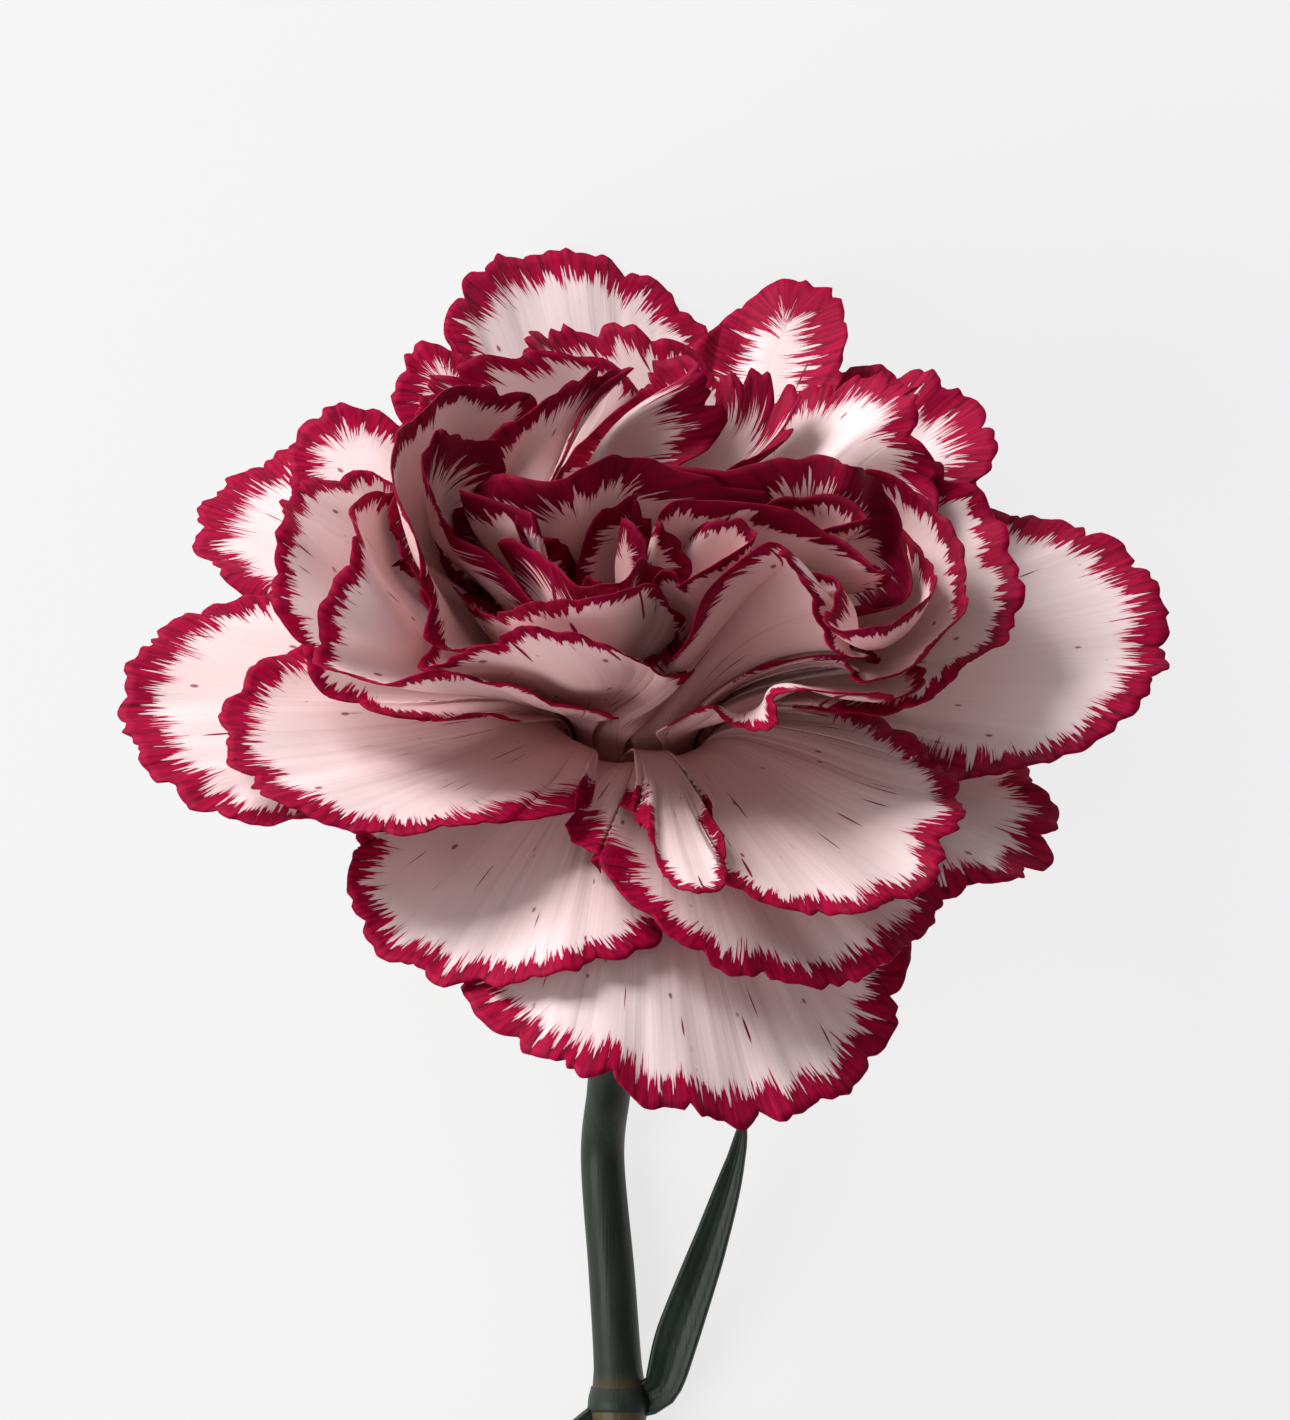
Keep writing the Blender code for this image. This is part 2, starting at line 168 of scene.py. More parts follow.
# %% Shell shape
CLAW_HALF_WIDTH = 3.4
CLAW_LENGTH = 20.0
MOUTH_RADIUS = 5.85
CENTRE_CLAWS_LEFT_OUT = 1.7
OVARY_CLEARANCE = 2.6
BASE_RADIUS = 5.3
BEND_LENGTH = 11.0
FAN_START = 0.5
FAN_LENGTH = 8.5
SHOULDER = 0.5
CURL_ROOM = 2.0
ROUNDNESS = 0.86
MERIDIAN_STEPS = 24
# waves per turn, size in degrees, phase in degrees, phase drift per degree of opening
OPENING_WAVES = [
    (3, 4.0, 17, 1.2),
    (5, 3.5, 109, -1.8),
    (7, 2.5, 229, 2.4),
    (11, 1.0, 41, -3.0),
]
# the waves are smaller on the flat outer petals, larger in the folded middle, and fade in the eye
STILL_END, STILL_SHARE = 40, 0.1
CALM_START, CALM_FULL, CALM_SHARE = 60, 90, 0.55
FOLD_FULL, FOLD_END, FOLD_SHARE = 32, 62, 1.1
# centre x and y, reach, turn in degrees
WHORLS = [
    (10, 9, 9, 85),
    (-9, 8, 8, -100),
    (0, -6, 8, 95),
    (13, -8, 8, -105),
    (-14, -4, 7, 70),
    (2, 14, 8, -75),
]
WHORL_START, WHORL_FULL = 6.0, 20.0


def ease(t):
    """0 below 0, 1 above 1, and a smooth step between."""
    t = np.clip(t, 0.0, 1.0)
    return t * t * (3 - 2 * t)


def claw_radius(order):
    place = len(PETALS) - order + CENTRE_CLAWS_LEFT_OUT - 0.5
    return MOUTH_RADIUS * math.sqrt(place / (len(PETALS) + CENTRE_CLAWS_LEFT_OUT))


def opening_at(opening, azimuth):
    """Radians from the axis, waving round the bloom."""
    wave = sum(
        size * np.cos(count * azimuth + math.radians(phase + drift * opening))
        for count, size, phase, drift in OPENING_WAVES
    )
    calm = min(1.0, opening / STILL_END + STILL_SHARE)
    calm *= 1 - CALM_SHARE * ease((opening - CALM_START) / (CALM_FULL - CALM_START))
    calm *= 1 + FOLD_SHARE * ease((FOLD_END - opening) / (FOLD_END - FOLD_FULL))
    return np.radians(opening + wave * calm)


def on_shell(opening, order, azimuth, along):
    """Radius and height at a distance along petal number order."""
    target = opening_at(opening, azimuth)
    step = along / MERIDIAN_STEPS
    radius = np.full(np.shape(along), claw_radius(order))
    height = np.zeros(np.shape(along))
    for k in range(MERIDIAN_STEPS):
        lean = target * ease(step * (k + 0.5) / BEND_LENGTH)
        radius = radius + np.sin(lean) * step
        height = height + np.cos(lean) * step
    return radius, height


def twist_in_whorls(points):
    """Turns each height's plane round the whorls, more and more up the bloom."""
    x, y, height = (points[..., k].copy() for k in range(3))
    grown = ease((height - WHORL_START) / (WHORL_FULL - WHORL_START))
    for centre_x, centre_y, reach, turn in WHORLS:
        dx, dy = x - centre_x, y - centre_y
        angle = math.radians(turn) * grown * np.exp(-(dx * dx + dy * dy) / reach**2)
        x = centre_x + dx * np.cos(angle) - dy * np.sin(angle)
        y = centre_y + dx * np.sin(angle) + dy * np.cos(angle)
    return np.stack([x, y, height], -1)


print("outermost claw at", round(claw_radius(0), 2), "mm, innermost", round(claw_radius(41), 2))

# %% [markdown]
# ## The margin
# Seen flat, a carnation petal is a fan with a scalloped margin: lobes about 6 mm wide that meet
# in sharp notches, and fine teeth on top of them. The outline is worked out once as a curve,
# measured by its arc length, so that lobes and teeth keep their size on large and small petals.

# %% Margin outline
MARGIN_SPACING = 0.24
LOBE_PITCH = 5.8
LOBE_DEPTH = 1.15
TOOTH_PITCH = 0.70
TOOTH_DEPTH = 0.75
OUTLINE_STEPS = 3001
# how far lobes wander along the margin, and over what distance
LOBE_WANDER, WANDER_PITCH = 2.2, 9.0
LOBE_ROUNDNESS = 0.6
# each lobe's share of the full depth, and over what distance it changes
SHALLOWEST, DEEPEST, DEPTH_PITCH = 0.3, 1.4, 8.0
# narrow petals have shallower lobes
FULL_LOBE_WIDTH, LEAST_LOBE_SHARE = 14, 0.1
LOBE_CENTRE_SHARE = 0.55
TOOTH_JITTER = 0.3
TOOTH_SHARPNESS = 1.5


def smooth_random(rng, places, pitch, low, high):
    """A wandering value along places, with one random knot per pitch."""
    first = places.min() - pitch
    knots = np.arange(first, places.max() + 2 * pitch, pitch)
    values = rng.uniform(low, high, len(knots))
    spot = (places - first) / pitch
    index = np.clip(spot.astype(int), 0, len(knots) - 2)
    part = ease(spot - index)
    return values[index] * (1 - part) + values[index + 1] * part


def margin_outline(rng, length, half_width):
    """The cut margin's flat points, their arc length, and the uncut margin, in mm."""
    turn = np.linspace(-0.5, 0.5, OUTLINE_STEPS) * math.pi
    across = np.sign(turn) * np.abs(np.sin(turn)) ** ROUNDNESS * half_width
    along = length * (SHOULDER + (1 - SHOULDER) * np.abs(np.cos(turn)) ** ROUNDNESS)
    arc = np.concatenate([[0], np.cumsum(np.hypot(np.diff(across), np.diff(along)))])
    count = int(arc[-1] / MARGIN_SPACING)
    places = np.linspace(0, arc[-1], count)
    across, along = np.interp(places, arc, across), np.interp(places, arc, along)
    uncut = np.stack([across, along], -1)
    wander = places + smooth_random(rng, places, WANDER_PITCH, -LOBE_WANDER, LOBE_WANDER)
    phase = rng.uniform(0, math.pi)
    lobe = np.abs(np.sin(math.pi * wander / LOBE_PITCH + phase)) ** LOBE_ROUNDNESS
    depth = smooth_random(rng, places, DEPTH_PITCH, SHALLOWEST, DEEPEST) * LOBE_DEPTH
    depth = depth * min(1.0, half_width / FULL_LOBE_WIDTH + LEAST_LOBE_SHARE)
    teeth = np.interp(places, *tooth_knots(rng, places)) * TOOTH_DEPTH
    cut = (1 - lobe) * depth + teeth
    middle = LOBE_CENTRE_SHARE * length
    reach = np.hypot(across, along - middle) + 1e-9
    across = across - cut * across / reach
    along = along - cut * (along - middle) / reach
    return across, along, places - arc[-1] / 2, uncut


def tooth_knots(rng, places):
    """Where the teeth's corners are along the margin, and how deep each is, from 0 to 1."""
    knots = np.arange(places.min(), places.max() + TOOTH_PITCH, TOOTH_PITCH)
    knots = knots + rng.uniform(-TOOTH_JITTER, TOOTH_JITTER, len(knots)) * TOOTH_PITCH
    return np.sort(knots), rng.uniform(0, 1, len(knots)) ** TOOTH_SHARPNESS


sample = margin_outline(np.random.default_rng(1), 40, 19)
print("a guard petal's margin is", round(float(np.ptp(sample[2])), 1), "mm long")

# %% [markdown]
# ## One petal as a grid
# Columns run from the claw to the margin, as the veins do, and rows run across. Each point also
# carries four measures that the paint needs later: its distance from the margin, the place on
# the margin straight out from it, the place where its own column ends, and its distance from
# the claw. A fifth number, the same all over a petal, says how far inside the bloom it stands;
# the paint uses it for painted shade, darker crimson and pinker white on the inner petals.

# %% Petal grid
LIMB_ROWS = 38
CLAW_ROWS = 4
SIDE_PENALTY = 9.0
SIDE_POWER = 1.2
ROW_CROWDING = 0.85
# this far apart, two petals' margins take unlike noise
MARGIN_SHIFT = 61.0
CLAW_RIM = 30.0
PAINT_EDGE = 2.0
DEEP_START = 70.0
# the crowded inner petals are narrower than their plain solids
NARROW_START, NARROWING = 58.0, 0.36


def petal_grid(order, seed):
    """Bloom coordinates of the petal's grid, and its measures for the paint."""
    _, degrees, length, half_width, edge_width = PETALS[order]
    opening = opening_of(order)
    half_width *= 1 - NARROWING * ease((NARROW_START - opening) / NARROW_START)
    azimuth = math.radians(degrees)
    rng = np.random.default_rng(seed)
    edge_across, edge_along, arc, uncut = margin_outline(rng, length, half_width)
    out = np.linspace(0, 1, LIMB_ROWS + 1)[:, None] ** ROW_CROWDING
    along = out * edge_along[None, :]
    fan = ease((along - FAN_START) / FAN_LENGTH)
    claw_share = np.clip(edge_across / half_width, -1, 1)[None, :]
    across = edge_across[None, :] * out * fan + claw_share * CLAW_HALF_WIDTH * (1 - fan)
    middle_radius, _ = on_shell(opening, order, np.full(along.shape, azimuth), along)
    angle = azimuth + across / (middle_radius + CURL_ROOM)
    radius, height = on_shell(opening, order, angle, along)
    limb = np.stack([radius * np.cos(angle), radius * np.sin(angle), height], -1)
    limb = twist_in_whorls(limb)
    top = claw_radius(order)
    spread = (BASE_RADIUS**2 - OVARY_CLEARANCE**2) / MOUTH_RADIUS**2
    bottom = math.sqrt(OVARY_CLEARANCE**2 + spread * top**2)
    share = (np.arange(CLAW_ROWS) / CLAW_ROWS)[:, None]
    claw_angle = azimuth + claw_share * CLAW_HALF_WIDTH / (top + CURL_ROOM) + 0 * share
    claw_reach = bottom + (top - bottom) * share + 0 * claw_angle
    claw_height = -CLAW_LENGTH * (1 - share) + 0 * claw_angle
    claw = np.stack(
        [claw_reach * np.cos(claw_angle), claw_reach * np.sin(claw_angle), claw_height], -1
    )
    rim = margin_distance(across, along, out, edge_across, edge_along) * PAINT_EDGE / edge_width
    # painted shade: the further inside the bloom a petal stands, the more the paint darkens its
    # crimson and pinks its white
    shade_depth = ease((DEEP_START - opening) / DEEP_START)
    edge = nearest_place(across, along, uncut, arc) + MARGIN_SHIFT * order
    edge = np.concatenate([np.repeat(edge[:1], CLAW_ROWS, 0), edge])
    rim = np.concatenate([np.full(claw_angle.shape, CLAW_RIM), rim])
    fan_place = np.repeat((arc + MARGIN_SHIFT * order)[None, :], len(rim), 0)
    along = np.concatenate([claw_height, along])
    measures = {"rim_mm": rim, "edge_mm": edge, "fan_mm": fan_place, "along_mm": along}
    measures["shade_depth"] = np.full(along.shape, float(shade_depth))
    return np.concatenate([claw, limb]), measures


def margin_distance(across, along, out, edge_across, edge_along):
    """Distance to the nearest margin point, with the side edges counting less and less inwards."""
    near = np.full(across.shape, 1e9)
    for x, y in zip(edge_across[::2], edge_along[::2]):
        near = np.minimum(near, np.hypot(across - x, along - y))
    for side in (across[:, :1], across[:, -1:]):
        gap = np.abs(across - side)
        near = np.minimum(near, gap + SIDE_PENALTY * (1 - out) ** SIDE_POWER)
    return near


def nearest_place(across, along, uncut, arc):
    """The place along the uncut margin straight out from each point."""
    near = np.full(across.shape, 1e9)
    place = np.zeros(across.shape)
    heading = np.gradient(uncut, axis=0)
    heading /= np.linalg.norm(heading, axis=1, keepdims=True)
    for (x, y), (forward_x, forward_y), spot in zip(uncut, heading, arc):
        gap = np.hypot(across - x, along - y)
        past = (across - x) * forward_x + (along - y) * forward_y
        place = np.where(gap < near, spot + past, place)
        near = np.minimum(near, gap)
    return place


print("grid of a guard petal:", petal_grid(0, 1)[0].shape)

# %% [markdown]
# ## Frills and pleats, with Geometry Nodes
# A living petal is never a clean fan: pleats run out along its veins, and its margin frills,
# because it grows faster at the edge than in the middle. Both follow the petal's own measures,
# so one Geometry Nodes tree can make them on every petal: it reads the place along the margin
# and the distance from it, looks up noise that is stretched along the veins, and pushes the
# sheet along its normal. Height, pitch and seed are inputs, so each petal has its own frill.

# %% Geometry Nodes helpers


def new_tree(name, inputs):
    """A geometry node tree with a Geometry input and output and the named inputs."""
    tree = bpy.data.node_groups.new(name, "GeometryNodeTree")
    face = tree.interface
    face.new_socket("Geometry", in_out="INPUT", socket_type="NodeSocketGeometry")
    for label, kind in inputs:
        face.new_socket(label, in_out="INPUT", socket_type=kind)
    face.new_socket("Geometry", in_out="OUTPUT", socket_type="NodeSocketGeometry")
    return tree, tree.nodes.new("NodeGroupInput"), tree.nodes.new("NodeGroupOutput")


def put(tree, kind, operation=None, **values):
    """A node with its inputs set by position (i0, i1, ...) or linked from another socket."""
    node = tree.nodes.new(kind)
    if operation:
        node.operation = operation
    for key, value in values.items():
        by_position = key[0] == "i" and key[1:].isdigit()
        socket = node.inputs[int(key[1:]) if by_position else key]
        if isinstance(value, bpy.types.NodeSocket):
            tree.links.new(value, socket)
        else:
            socket.default_value = value
    return node


def calc(tree, operation, first, second=0.0, third=0.0):
    """One math node's output."""
    node = put(tree, "ShaderNodeMath", operation, i0=first, i1=second, i2=third)
    return node.outputs[0]


def apply_tree(piece, tree, settings):
    """Puts the tree on the piece as a modifier, with its inputs set by their identifiers."""
    modifier = piece.modifiers.new(tree.name, "NODES")
    modifier.node_group = tree
    for item in tree.interface.items_tree:
        if item.in_out == "INPUT" and item.name in settings:
            modifier[item.identifier] = settings[item.name]
    return modifier


def made_plain(piece):
    """A new object with the piece's finished mesh and no modifiers; the piece is removed."""
    graph = bpy.context.evaluated_depsgraph_get()
    mesh = bpy.data.meshes.new_from_object(piece.evaluated_get(graph))
    name = piece.name
    bpy.data.objects.remove(piece)
    mesh.name = name
    mesh.shade_smooth()
    made = bpy.data.objects.new(name, mesh)
    bpy.context.scene.collection.objects.link(made)
    return made


print("helpers ready")

# %% Frill tree
GROWN_LENGTH = 16.0
FRILL_REACH, FRILL_POWER, FRILL_STRETCH = 13.0, 1.6, 0.03
PLEAT_PITCH, PLEAT_STRETCH, PLEAT_SHIFT = 1.1, 0.02, 9.0


def frill_tree():
    tree, given, result = new_tree(
        "petal_frill",
        [
            ("Frill Height", "NodeSocketFloat"),
            ("Frill Pitch", "NodeSocketFloat"),
            ("Pleat Height", "NodeSocketFloat"),
            ("Seed", "NodeSocketFloat"),
            ("Finish", "NodeSocketMaterial"),
        ],
    )

    def measure(name):
        node = tree.nodes.new("GeometryNodeInputNamedAttribute")
        node.data_type = "FLOAT"
        node.inputs["Name"].default_value = name
        return node.outputs["Attribute"]

    rim, fan, along = measure("rim_mm"), measure("fan_mm"), measure("along_mm")

    def ridges(pitch, stretch, seed_shift):
        place = tree.nodes.new("ShaderNodeCombineXYZ")
        tree.links.new(calc(tree, "DIVIDE", fan, pitch), place.inputs[0])
        tree.links.new(calc(tree, "MULTIPLY", along, stretch), place.inputs[1])
        tree.links.new(calc(tree, "ADD", given.outputs["Seed"], seed_shift), place.inputs[2])
        noise = put(tree, "ShaderNodeTexNoise", Vector=place.outputs[0], Scale=1.0, Detail=1.0)
        return calc(tree, "SUBTRACT", noise.outputs[0], 0.5)

    def fading(reach, power):
        near = calc(tree, "SUBTRACT", 1.0, calc(tree, "DIVIDE", rim, reach))
        near = calc(tree, "MAXIMUM", near, 0.0)
        return calc(tree, "POWER", near, power)

    grown = calc(tree, "MINIMUM", calc(tree, "DIVIDE", along, GROWN_LENGTH), 1.0)
    grown = calc(tree, "MAXIMUM", grown, 0.0)
    waves = ridges(given.outputs["Frill Pitch"], FRILL_STRETCH, 0.0)
    frill = calc(tree, "MULTIPLY", waves, fading(FRILL_REACH, FRILL_POWER))
    frill = calc(tree, "MULTIPLY", frill, given.outputs["Frill Height"])
    folds = ridges(PLEAT_PITCH, PLEAT_STRETCH, PLEAT_SHIFT)
    pleat = calc(tree, "MULTIPLY", folds, given.outputs["Pleat Height"])
    pleat = calc(tree, "MULTIPLY", pleat, grown)
    lift = calc(tree, "MULTIPLY", calc(tree, "ADD", frill, pleat), MM)
    lift = calc(tree, "MULTIPLY", lift, grown)
    normal = tree.nodes.new("GeometryNodeInputNormal")
    push = tree.nodes.new("ShaderNodeVectorMath")
    push.operation = "SCALE"
    tree.links.new(normal.outputs[0], push.inputs[0])
    tree.links.new(lift, push.inputs["Scale"])
    moved = tree.nodes.new("GeometryNodeSetPosition")
    tree.links.new(given.outputs["Geometry"], moved.inputs["Geometry"])
    tree.links.new(push.outputs[0], moved.inputs["Offset"])
    real = put(tree, "GeometryNodeRealizeInstances", Geometry=moved.outputs[0])
    finish = put(
        tree, "GeometryNodeSetMaterial", Geometry=real.outputs[0], Material=given.outputs["Finish"]
    )
    tree.links.new(finish.outputs[0], result.inputs[0])
    return tree


FRILL = frill_tree()
print("frill tree:", len(FRILL.nodes), "nodes")

# %% [markdown]
# ## Paint for the petals
# The petal is white, blushed with pink towards its foot, and edged in crimson. The pink at the
# foot is partly the petal's own and partly painted shade of the throat, and on the petals far
# inside the bloom painted shade darkens the crimson and turns the white pinker. The crimson runs
# straight in from the margin as fine streaks of uneven length, with white slits between them.
# All of it is a comparison of the distance from the margin with noises stretched across the edge.
# Petals are thin, so a share of the light that falls on the far side comes through.

# %% Node helpers for materials


def new_finish(name, roughness):
    """A material, its node tree and its Principled shader."""
    finish = bpy.data.materials.new(name)
    finish.use_nodes = True
    shader = finish.node_tree.nodes["Principled BSDF"]
    shader.inputs["Roughness"].default_value = roughness
    return finish, finish.node_tree, shader


def read_measure(tree, name):
    node = tree.nodes.new("ShaderNodeAttribute")
    node.attribute_name = name
    return node.outputs["Fac"]


def vein_noise(tree, fan, along, across_scale, along_scale, shift=0.0, detail=2.0):
    """Noise in 0..1 that is fine across the veins and long along them."""
    place = tree.nodes.new("ShaderNodeCombineXYZ")
    tree.links.new(calc(tree, "MULTIPLY", fan, across_scale), place.inputs[0])
    tree.links.new(calc(tree, "MULTIPLY", along, along_scale), place.inputs[1])
    place.inputs[2].default_value = shift
    node = put(tree, "ShaderNodeTexNoise", Vector=place.outputs[0], Scale=1.0, Detail=detail)
    return node.outputs[0]


def stretch(tree, value, low, high, to_low=0.0, to_high=1.0):
    """Maps low..high to to_low..to_high and clamps."""
    node = tree.nodes.new("ShaderNodeMapRange")
    for place, number in enumerate((low, high, to_low, to_high)):
        node.inputs[place + 1].default_value = number
    tree.links.new(value, node.inputs[0])
    return node.outputs[0]


def blend_colour(tree, share, first, second):
    """A mix of two colours; each is a tuple or a socket."""
    node = tree.nodes.new("ShaderNodeMix")
    node.data_type = "RGBA"
    tree.links.new(share, node.inputs[0])
    for socket, colour in ((node.inputs[6], first), (node.inputs[7], second)):
        if isinstance(colour, tuple):
            socket.default_value = (*colour, 1.0)
        else:
            tree.links.new(colour, socket)
    return node.outputs[2]


print("material helpers ready")

# %% Petal finish
WHITE = (0.87, 0.72, 0.72)
# pink: the petal's own towards its foot, and painted shade in the throat and on the inner petals
BLUSH_AND_SHADE_PINK = (0.80, 0.40, 0.39)
VEIN = (0.78, 0.60, 0.62)
CLAW_GREEN = (0.66, 0.68, 0.36)
CRIMSON = (0.43, 0.0005, 0.045)
# darker crimson: the petal's own colour in the darker streaks, and painted shade on the inner
# petals
STREAK_AND_SHADE_CRIMSON = (0.13, 0.0005, 0.014)
MAGENTA = (0.62, 0.035, 0.19)
SPECK_RED = (0.26, 0.006, 0.045)
TRANSLUCENCY = 0.24
# the border's width, and what its slow wandering, its streaks and its hairs add to it, in mm
BORDER_WIDTH = 1.45
BORDER_WANDER = (0.0, 0.7)
STREAK_REACH = (-0.40, 0.95)
HAIR_REACH = (-0.85, 0.60)
# the border thins to this share towards the claw
CLAW_BORDER_SHARE = 0.25
CLAW_BORDER_FROM, CLAW_BORDER_TO = 5.0, 22.0
# where the pink runs along the petal and how strong it is; part of its strength is painted shade in
# the throat
BLUSH_AND_SHADE_FROM, BLUSH_AND_SHADE_TO, BLUSH_AND_SHADE_POWER, BLUSH_AND_SHADE_SHARE = 31.0, 4.0, 1.2, 0.9
GREEN_FROM, GREEN_TO, GREEN_SHARE = 1.5, -5.0, 0.8


def petal_finish():
    finish, tree, shader = new_finish("petal_picotee", 0.60)
    rim, edge, fan, along, shade_depth = (
        read_measure(tree, n) for n in ("rim_mm", "edge_mm", "fan_mm", "along_mm", "shade_depth")
    )
    slow = vein_noise(tree, edge, rim, 0.20, 0.0, 3.0)
    streak = vein_noise(tree, edge, rim, 2.0, 0.16, 7.0, 2.0)
    hair = vein_noise(tree, edge, rim, 5.5, 0.40, 11.0, 2.0)
    reach = calc(tree, "ADD", BORDER_WIDTH, stretch(tree, slow, 0.3, 0.7, *BORDER_WANDER))
    reach = calc(tree, "ADD", reach, stretch(tree, streak, 0.34, 0.68, *STREAK_REACH))
    reach = calc(tree, "ADD", reach, stretch(tree, hair, 0.32, 0.68, *HAIR_REACH))
    # towards the claw the coloured border thins away
    whole = stretch(tree, along, CLAW_BORDER_FROM, CLAW_BORDER_TO, CLAW_BORDER_SHARE, 1.0)
    reach = calc(tree, "MULTIPLY", reach, whole)
    inside = calc(tree, "SUBTRACT", reach, rim)
    border = stretch(tree, inside, -0.08, 0.12)
    fringe = stretch(tree, inside, -0.55, 0.05)
    # dashes and specks out on the white
    dash = vein_noise(tree, fan, along, 1.3, 0.11, 23.0, 1.0)
    place = tree.nodes.new("ShaderNodeCombineXYZ")
    tree.links.new(calc(tree, "MULTIPLY", fan, 0.55), place.inputs[0])
    tree.links.new(calc(tree, "MULTIPLY", along, 0.38), place.inputs[1])
    cells = put(tree, "ShaderNodeTexVoronoi", Vector=place.outputs[0], Scale=1.0)
    speck = stretch(tree, cells.outputs["Distance"], 0.15, 0.09)
    chosen = tree.nodes.new("ShaderNodeSeparateColor")
    tree.links.new(cells.outputs["Color"], chosen.inputs[0])
    speck = calc(tree, "MULTIPLY", speck, stretch(tree, chosen.outputs[0], 0.62, 0.65))
    dash = stretch(tree, dash, 0.71, 0.735)
    spot = calc(tree, "MAXIMUM", calc(tree, "MULTIPLY", speck, 0.8), dash)
    spot = calc(tree, "MULTIPLY", spot, stretch(tree, along, 8.0, 14.0))
    # the white ground
    # partly painted shade: the pink towards the foot is the petal's own, made stronger to stand in
    # for the shade in the throat
    blush_and_shade = stretch(tree, along, BLUSH_AND_SHADE_FROM, BLUSH_AND_SHADE_TO)
    blush_and_shade = calc(tree, "POWER", blush_and_shade, BLUSH_AND_SHADE_POWER)
    blush_and_shade = calc(tree, "MULTIPLY", blush_and_shade, BLUSH_AND_SHADE_SHARE)
    ground = blend_colour(tree, blush_and_shade, WHITE, BLUSH_AND_SHADE_PINK)
    veins = vein_noise(tree, fan, along, 2.4, 0.05, 31.0, 3.0)
    ground = blend_colour(tree, stretch(tree, veins, 0.5, 0.8, 0.0, 0.22), ground, VEIN)
    green = stretch(tree, along, GREEN_FROM, GREEN_TO, 0.0, GREEN_SHARE)
    ground = blend_colour(tree, green, ground, CLAW_GREEN)
    red = blend_colour(tree, stretch(tree, streak, 0.30, 0.60), STREAK_AND_SHADE_CRIMSON, CRIMSON)
    red = blend_colour(tree, stretch(tree, hair, 0.60, 0.8, 0.0, 0.35), red, MAGENTA)
    # painted shade: petals far inside the bloom get darker crimson and pinker white, standing in
    # for the shade in the bloom's middle
    red = blend_colour(tree, calc(tree, "MULTIPLY", shade_depth, 0.75), red, STREAK_AND_SHADE_CRIMSON)
    ground = blend_colour(tree, calc(tree, "MULTIPLY", shade_depth, 0.5), ground, BLUSH_AND_SHADE_PINK)
    colour = blend_colour(tree, calc(tree, "MULTIPLY", fringe, 0.38), ground, MAGENTA)
    colour = blend_colour(tree, border, colour, red)
    colour = blend_colour(tree, spot, colour, SPECK_RED)
    tree.links.new(colour, shader.inputs["Base Color"])
    shader.inputs["Specular IOR Level"].default_value = 0.08
    ridge = vein_noise(tree, fan, along, 2.6, 0.04, 41.0, 3.0)
    bump = put(tree, "ShaderNodeBump", Strength=0.30, Distance=0.00012, Height=ridge)
    tree.links.new(bump.outputs[0], shader.inputs["Normal"])
    through = tree.nodes.new("ShaderNodeBsdfTranslucent")
    tree.links.new(colour, through.inputs["Color"])
    mixed = put(tree, "ShaderNodeMixShader", i0=TRANSLUCENCY)
    tree.links.new(shader.outputs[0], mixed.inputs[1])
    tree.links.new(through.outputs[0], mixed.inputs[2])
    tree.links.new(mixed.outputs[0], tree.nodes["Material Output"].inputs["Surface"])
    return finish


PETAL_FINISH = petal_finish()
print("petal finish:", len(PETAL_FINISH.node_tree.nodes), "nodes")

# %% [markdown]
# ## Make the petals
# Each grid becomes a mesh with its measures as attributes, goes through the frill tree, and
# gets the thickness of a petal with a Solidify modifier. Then it is made a plain mesh, rides on
# the flower's one body and takes the place of the plain petal in the model.

# %% Sheets from grids
PETAL_THICKNESS = 0.13


def sheet_mesh(name, grid, measures):
    """An object with a quad mesh over a grid of world millimetres, and its point attributes."""
    rows, columns = grid.shape[:2]
    index = np.arange(rows * columns).reshape(rows, columns)
    faces = np.stack([index[:-1, :-1], index[:-1, 1:], index[1:, 1:], index[1:, :-1]], -1)
    mesh = bpy.data.meshes.new(name)
    mesh.from_pydata((grid.reshape(-1, 3) * MM).tolist(), [], faces.reshape(-1, 4).tolist())
    for label, values in measures.items():
        attribute = mesh.attributes.new(label, "FLOAT", "POINT")
        attribute.data.foreach_set("value", values.astype(np.float32).ravel())
    mesh.shade_smooth()
    made = bpy.data.objects.new(name, mesh)
    bpy.context.scene.collection.objects.link(made)
    return made


def thicken(piece, thickness):
    solid = piece.modifiers.new("Thickness", "SOLIDIFY")
    solid.thickness = thickness * MM
    solid.offset = 0.0


def hand_over(piece, node):
    """The finished piece rides on the flower and stands for the model's node."""
    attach(piece, "root")
    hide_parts(node)


# %% Petals
FRILLS = {
    # ring: frill height, frill pitch, pleat height
    "guard": (4.2, 8.0, 0.14),
    "side": (4.4, 6.5, 0.14),
    "collar": (4.2, 6.0, 0.12),
    "ruffle": (3.6, 5.5, 0.12),
    "heart": (2.6, 5.0, 0.10),
    "eye": (1.5, 5.0, 0.10),
}
FIRST_SEED = 100
SEED_STEP = 3.7
triangles = 0
for order, row in enumerate(PETALS):
    ring = row[0].split("_")[0]
    grid, measures = petal_grid(order, FIRST_SEED + order)
    petal = sheet_mesh("bloom_" + row[0], to_world(grid), measures)
    height, pitch, pleat = FRILLS[ring]
    settings = {
        "Frill Height": height,
        "Frill Pitch": pitch,
        "Pleat Height": pleat,
        "Seed": SEED_STEP * order,
        "Finish": PETAL_FINISH,
    }
    apply_tree(petal, FRILL, settings)
    thicken(petal, PETAL_THICKNESS)
    petal = made_plain(petal)
    hand_over(petal, "petal_" + row[0])
    triangles += sum(len(p.vertices) - 2 for p in petal.data.polygons)
print("petals made:", len(PETALS), "triangles:", triangles)

# %% [markdown]
# ## The stem, swept along its path
# A carnation's stem is a slim round rod with swollen joints, the nodes, where the leaves sit in
# pairs. It lies on the table, so its path is known at a few places, each with its radius, and a
# smooth curve runs through them. One Geometry Nodes tree sweeps a ring along any such curve,
# so it makes the stem and the short sheaths that clasp it above each node.

# %% Sweep tree


